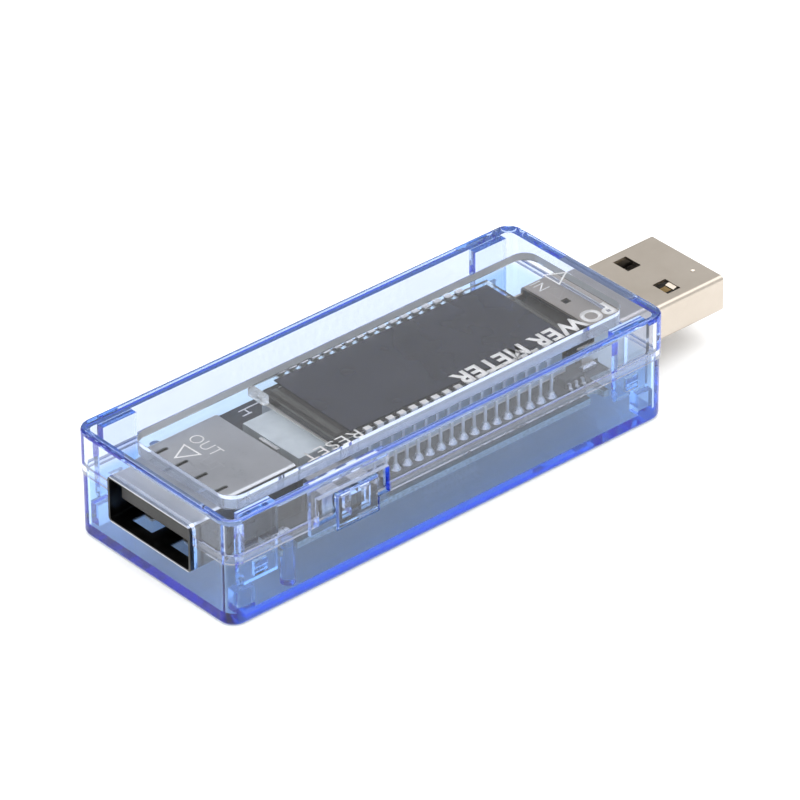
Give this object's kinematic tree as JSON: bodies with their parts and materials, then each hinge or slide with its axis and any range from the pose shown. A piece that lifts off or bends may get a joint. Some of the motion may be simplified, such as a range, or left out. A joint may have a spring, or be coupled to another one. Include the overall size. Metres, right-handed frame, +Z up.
{
  "type": "usb power meter",
  "caption": "Inline USB power meter: translucent snap-together casing with a USB-A plug and socket at its ends, a pinned liquid crystal display on a board, and a side reset button.",
  "frame": {"origin": "centre of the whole object's bounding box in plan, at the underside of the lower casing", "axes": "+X towards the tip of the USB-A plug, +Z up out of the display, the reset button on the -Y side"},
  "size_m": [0.0778, 0.0258, 0.0133],
  "materials": {
    "casing_blue": "translucent blue, polished, clear",
    "window_clear": "clear colourless acrylic, polished",
    "button_blue": "translucent blue, moulded",
    "plug_nickel": "nickel plated, warm, bright",
    "socket_nickel": "tin plated, satin",
    "black_plastic": "black thermoplastic, satin",
    "contact_gold": "gold flashed",
    "board_black": "dark solder mask over glass fibre laminate",
    "display_glass": "clear glass, ground edges",
    "polarizer_dark": "dark polarizing film",
    "seal_epoxy": "clear epoxy",
    "guide_white": "milky light guide",
    "film_white": "white film",
    "tinned_metal": "tinned",
    "solder": "solder, satin",
    "chip_black": "black moulding compound",
    "ceramic_tan": "ceramic, satin",
    "lamp_white": "white lamp body",
    "steel_sheet": "spring steel sheet"
  },
  "bodies": {
    "casing": {"backlight_diffuser": "film_white", "backlight_guide": "guide_white", "backlight_leads": "tinned_metal", "backlight_led": "lamp_white", "backlight_reflector": "film_white", "capacitor_bodies": "ceramic_tan", "capacitor_terminals": "tinned_metal", "circuit_board": "board_black", "controller_chip": "chip_black", "controller_leads": "tinned_metal", "crystal_can": "steel_sheet", "diode_leads": "tinned_metal", "lcd_end_seal": "seal_epoxy", "lcd_front_glass": "display_glass", "lcd_front_polarizer": "polarizer_dark", "lcd_perimeter_seal": "seal_epoxy", "lcd_pin_solder": "solder", "lcd_pins_far": "tinned_metal", "lcd_pins_near": "tinned_metal", "lcd_rear_glass": "display_glass", "lcd_rear_polarizer": "polarizer_dark", "lower_shell": "casing_blue", "memory_chip": "chip_black", "memory_leads": "tinned_metal", "plug_contacts": "contact_gold", "plug_insulator": "black_plastic", "plug_shell": "plug_nickel", "plug_solder": "solder", "rectifier_diode": "chip_black", "regulator_body": "chip_black", "regulator_leads": "tinned_metal", "resistor_bodies": "chip_black", "resistor_terminals": "tinned_metal", "shunt_resistor": "steel_sheet", "socket_contacts": "contact_gold", "socket_insulator": "black_plastic", "socket_shell": "socket_nickel", "socket_solder": "solder", "switch_body": "black_plastic", "switch_cover": "steel_sheet", "switch_dome": "steel_sheet", "switch_terminals": "tinned_metal", "upper_shell": "casing_blue", "window_lens": "window_clear"},
    "button": {"reset_button": "button_blue"},
    "plunger": {"switch_plunger": "black_plastic"}
  },
  "joints": [
    {"name": "reset_press", "type": "slide", "parent": "casing", "child": "button", "axis": [0, 1, 0], "range_m": [0, 0.00025], "stiffness_N_per_m": 200, "springref_m": -0.001},
    {"name": "plunger_press", "type": "slide", "parent": "casing", "child": "plunger", "axis": [0, 1, 0], "range_m": [0, 0.00025]}
  ],
  "couplings": [
    {"joint": "plunger_press", "follows": "reset_press", "ratio": 1}
  ]
}
